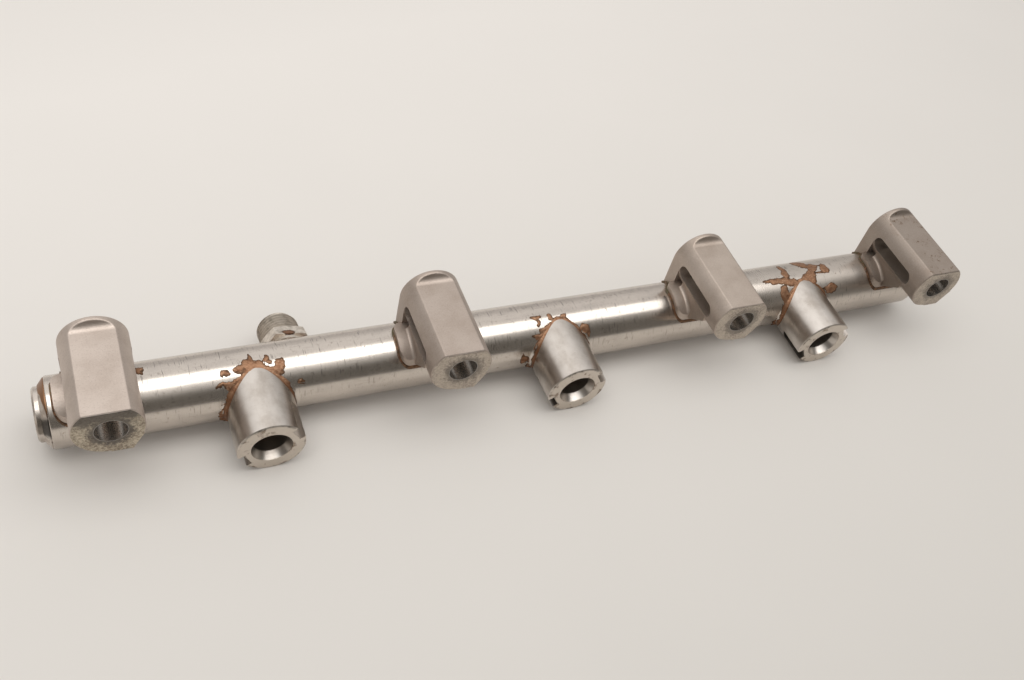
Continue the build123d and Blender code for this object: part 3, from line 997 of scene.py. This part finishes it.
def tuck(mesh, number):
    """Draw the foot's right wing in under the boss, where the real saddle ends."""
    middle = LUG_PLACES[number] - BOSS_SHIFT
    for vertex in mesh.verts:
        back = vertex.co.y * 1000 - TUBE_Y
        limit = BOSS_HALF_WIDTH if back > REAR_WALL_START - 0.1 else WEB_HALF_WIDTH
        if hypot(back, vertex.co.z * 1000) < SADDLE_RADIUS + 0.2:
            vertex.co.x = min(vertex.co.x, (middle + limit) / 1000)
    bmesh.ops.remove_doubles(mesh, verts=mesh.verts, dist=TUCK_DISTANCE)
    bmesh.ops.dissolve_degenerate(mesh, edges=mesh.edges, dist=TUCK_DISTANCE)


def trim(mesh, number):
    """Cut off the copper to the right of the boss, and close the cut."""
    bmesh.ops.bisect_plane(
        mesh,
        geom=[*mesh.verts, *mesh.edges, *mesh.faces],
        plane_co=((LUG_PLACES[number] - BOSS_SHIFT + WEB_HALF_WIDTH - 0.2) / 1000, 0, 0),
        plane_no=(1, 0, 0),
        clear_outer=True,
    )
    bmesh.ops.holes_fill(mesh, edges=[edge for edge in mesh.edges if edge.is_boundary])


def add_object(name, mesh, material):
    """Object at the origin from a bmesh, with smooth shading and one material."""
    bmesh.ops.recalc_face_normals(mesh, faces=mesh.faces)
    shade(mesh, SHARP_ANGLE)
    data = bpy.data.meshes.new(name)
    mesh.to_mesh(data)
    mesh.free()
    data.materials.append(material)
    piece = bpy.data.objects.new(name, data)
    bpy.context.scene.collection.objects.link(piece)
    return piece


class FUELRAIL_OT_dress(bpy.types.Operator):
    """Give every solid of the rail its finish."""

    bl_idname = "fuel_rail.dress"
    bl_label = "Dress the solids"

    def execute(self, context):
        dress("rail_tube", make_tube_material())
        for number in CUP_PLACES:
            dress(f"injector_cup_{number}", make_cup_material(number))
        for number in LUG_PLACES:
            dress(f"mounting_lug_{number}", make_lug_material(number))
        plug = make_plug_material()
        for side in ("left", "right"):
            dress(f"end_plug_{side}", plug)
        brazes = {
            "inlet": make_braze_material(),
            "lug": make_lug_braze_material(),
            "plug": make_plug_braze_material(),
        }
        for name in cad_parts:
            family, _, kind = name.partition("_")
            kind = kind.split("_")[0]
            if family == "braze" and kind in brazes:
                dress(name, brazes[kind])
        for number in CUP_PLACES:
            dress(f"braze_cup_{number}", make_cup_braze_material(number))
        return {"FINISHED"}


class FUELRAIL_OT_lugs(bpy.types.Operator):
    """Build the lugs with one-sided feet, and the copper at their feet."""

    bl_idname = "fuel_rail.lugs"
    bl_label = "Build the one-sided lugs"

    def execute(self, context):
        braze = bpy.data.materials["braze_dark"]
        for number in LUG_PLACES:
            mesh = copy_solid(f"mounting_lug_{number}")
            tuck(mesh, number)
            steel = bpy.data.materials[f"cast_steel_{number}"]
            lug = add_object(f"cast_lug_{number}", mesh, steel)
            smooth = lug.modifiers.new("even_shading", "WEIGHTED_NORMAL")
            smooth.keep_sharp = True
            mesh = copy_solid(f"braze_lug_{number}")
            trim(mesh, number)
            rim = add_object(f"foot_braze_{number}", mesh, braze)
            for piece, name, slot in (
                (lug, "mounting_lug", "cast_steel"),
                (rim, "braze_lug", "braze"),
            ):
                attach(piece, "root")
                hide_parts(f"{name}_{number}")
        return {"FINISHED"}


class FUELRAIL_OT_splashes(bpy.types.Operator):
    """Build the copper that ran out round the cups."""

    bl_idname = "fuel_rail.splashes"
    bl_label = "Build the copper splashes"

    def execute(self, context):
        material = make_splash_material()
        for number in CUP_PLACES:
            piece = add_object(f"braze_splash_{number}", make_splash(number), material)
            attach(piece, "root")
        return {"FINISHED"}


class FUELRAIL_OT_inlet(bpy.types.Operator):
    """Build the inlet fitting with its real thread."""

    bl_idname = "fuel_rail.inlet"
    bl_label = "Build the threaded inlet"

    def execute(self, context):
        sizes = context.scene.fuel_rail_inlet
        shape = InletShape(sizes)
        foot, neck = make_body(shape)
        body_faces = set(shape.mesh.faces)
        make_thread(shape)
        mesh = shape.mesh
        bmesh.ops.remove_doubles(mesh, verts=mesh.verts, dist=MERGE_DISTANCE)
        ends = []
        for along, normal in ((sizes.thread_start, -1), (sizes.thread_end, 1)):
            threads = [face for face in mesh.faces if face not in body_faces]
            parts = {part for face in threads for part in (*face.verts, *face.edges)}
            cut = bmesh.ops.bisect_plane(
                mesh,
                geom=threads + list(parts),
                plane_co=shape.start + shape.axis * along,
                plane_no=shape.axis * normal,
                clear_outer=True,
            )["geom_cut"]
            ends.append([part for part in cut if isinstance(part, bmesh.types.BMEdge)])
        thread_vertices = {v for face in mesh.faces if face not in body_faces for v in face.verts}

        def chamfered(angle, radius, along):
            from_end = min(sizes.thread_end - along, along - sizes.thread_start)
            limit = sizes.thread_radius - sizes.thread_chamfer + from_end
            return min(radius, max(limit, sizes.neck_radius)), along

        shape.move(thread_vertices, chamfered)
        bmesh.ops.bridge_loops(mesh, edges=neck + ends[0])
        seat_depth = (sizes.seat_radius - sizes.bore_radius) / tan(sizes.seat_angle / 2)
        ring = shape.grow(ends[1], shape.to(sizes.seat_radius, sizes.thread_end))
        ring = shape.grow(ring, shape.to(sizes.bore_radius, sizes.thread_end - seat_depth))
        ring = shape.grow(ring, shape.to(sizes.bore_radius, sizes.foot))
        bmesh.ops.bridge_loops(mesh, edges=foot + ring)
        piece = add_object("threaded_inlet", mesh, make_inlet_material(sizes))
        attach(piece, "root")
        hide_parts("inlet_fitting")
        return {"FINISHED"}


def make_floor(sizes):
    """Floor under the cups' rims, tilted towards the tip of the inlet."""
    mesh = bmesh.new()
    bmesh.ops.create_grid(mesh, x_segments=8, y_segments=8, size=sizes.floor_size / 2)
    tilt = Euler((sizes.floor_slope, 0, 0)).to_matrix()
    bmesh.ops.rotate(mesh, verts=mesh.verts, matrix=tilt)
    rest = Vector((0, CUP_END / 1000, CUP_RIM_LOW))
    bmesh.ops.translate(mesh, verts=mesh.verts, vec=rest)
    return add_object("floor", mesh, make_floor_material())


def make_lamp(sizes):
    """Long soft lamp over the rail, which the camera doesn't see."""
    data = bpy.data.lights.new("long_soft_lamp", "AREA")
    data.shape = "RECTANGLE"
    data.size = sizes.lamp_length
    data.size_y = sizes.lamp_width
    data.energy = sizes.lamp_power
    data.color = (1.0, 0.995, 0.985)
    lamp = bpy.data.objects.new("long_soft_lamp", data)
    lamp.location = (*LAMP_PLACE, sizes.lamp_height)
    lamp.rotation_euler = (0.0, 0.0, -sizes.lamp_turn)
    lamp.visible_camera = False
    bpy.context.scene.collection.objects.link(lamp)


def make_world():
    """Soft light for dull surfaces, and a dark front and pale back for metal to mirror."""
    world = bpy.data.worlds.new("surroundings")
    graph = Graph(world)
    direction = graph.add("ShaderNodeTexCoord", output="Generated")
    split = graph.add("ShaderNodeSeparateXYZ", inputs={0: direction})
    back = graph.fade(split.output(1), -0.15, 0.45)
    streak = graph.fade(split, 0.25, -0.1) * graph.fade(split, -0.85, -0.6)
    high = graph.blend(streak * 0.5, BACK_HIGH, BACK_STREAK)
    behind = graph.blend(graph.fade(split.output(2), 0.1, 0.6), BACK_LOW, high)
    overhead = graph.ramp(split.output(2), 0.42, 0.95) ** 3
    before = graph.blend(overhead, FRONT_DARK, FRONT_BRIGHT)
    right = graph.fade(split, 0.3, 0.85) * 0.45
    left = graph.fade(split, -0.5, -0.85) * 0.3
    mirrored = graph.blend(back, before, behind)
    mirrored = graph.blend(right + left, mirrored, FRONT_DARK)
    soft = graph.blend(back, FRONT_SOFT, BACK_SOFT)
    paths = graph.add("ShaderNodeLightPath", output="Is Glossy Ray")
    colour = graph.blend(paths, soft, mirrored)
    colour = graph.blend(paths.output(0), colour, graph.colours.floor_pale)
    background = graph.add("ShaderNodeBackground", inputs={"Color": colour, "Strength": 1.0})
    graph.add("ShaderNodeOutputWorld", inputs={"Surface": background})
    return world


def make_camera(sizes):
    """Camera with the view of the reference."""
    data = bpy.data.cameras.new("camera")
    data.lens = sizes.lens
    data.sensor_width = SENSOR_WIDTH
    data.clip_start = 0.01
    camera = bpy.data.objects.new("camera", data)
    camera.location = CAMERA_PLACE
    camera.rotation_euler = [radians(angle) for angle in CAMERA_ANGLES]
    bpy.context.scene.collection.objects.link(camera)
    return camera


class FUELRAIL_OT_stage(bpy.types.Operator):
    """Build the floor, the lamp, the surroundings and the camera."""

    bl_idname = "fuel_rail.stage"
    bl_label = "Build the stage"

    def execute(self, context):
        sizes = context.scene.fuel_rail_stage
        make_floor(sizes)
        make_lamp(sizes)
        context.scene.world = make_world()
        context.scene.camera = make_camera(sizes)
        context.scene.view_settings.view_transform = "Standard"
        return {"FINISHED"}


class FUELRAIL_PT_panel(bpy.types.Panel):
    """Sidebar panel with the steps, the sizes and the colours."""

    bl_idname = "FUELRAIL_PT_panel"
    bl_label = "Fuel rail"
    bl_space_type = "VIEW_3D"
    bl_region_type = "UI"
    bl_category = "Fuel rail"

    def draw(self, context):
        for step in OPERATORS:
            self.layout.operator(step.bl_idname)
        scene = context.scene
        for group in (scene.fuel_rail_inlet, scene.fuel_rail_stage, scene.fuel_rail_colours):
            box = self.layout.box()
            for name in group.bl_rna.properties.keys():
                if name not in ("rna_type", "name"):
                    box.prop(group, name)


OPERATORS = (
    FUELRAIL_OT_stage,
    FUELRAIL_OT_dress,
    FUELRAIL_OT_lugs,
    FUELRAIL_OT_splashes,
    FUELRAIL_OT_inlet,
)
CLASSES = (InletSizes, StageSizes, RailColours, *OPERATORS, FUELRAIL_PT_panel)


def register():
    for item in CLASSES:
        bpy.utils.register_class(item)
    bpy.types.Scene.fuel_rail_inlet = PointerProperty(type=InletSizes)
    bpy.types.Scene.fuel_rail_stage = PointerProperty(type=StageSizes)
    bpy.types.Scene.fuel_rail_colours = PointerProperty(type=RailColours)


def unregister():
    del bpy.types.Scene.fuel_rail_colours
    del bpy.types.Scene.fuel_rail_stage
    del bpy.types.Scene.fuel_rail_inlet
    for item in reversed(CLASSES):
        bpy.utils.unregister_class(item)


def main():
    """Run every step."""
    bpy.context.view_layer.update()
    register()
    bpy.ops.fuel_rail.stage()
    bpy.ops.fuel_rail.dress()
    bpy.ops.fuel_rail.lugs()
    bpy.ops.fuel_rail.splashes()
    bpy.ops.fuel_rail.inlet()


if __name__ == "__main__":
    main()
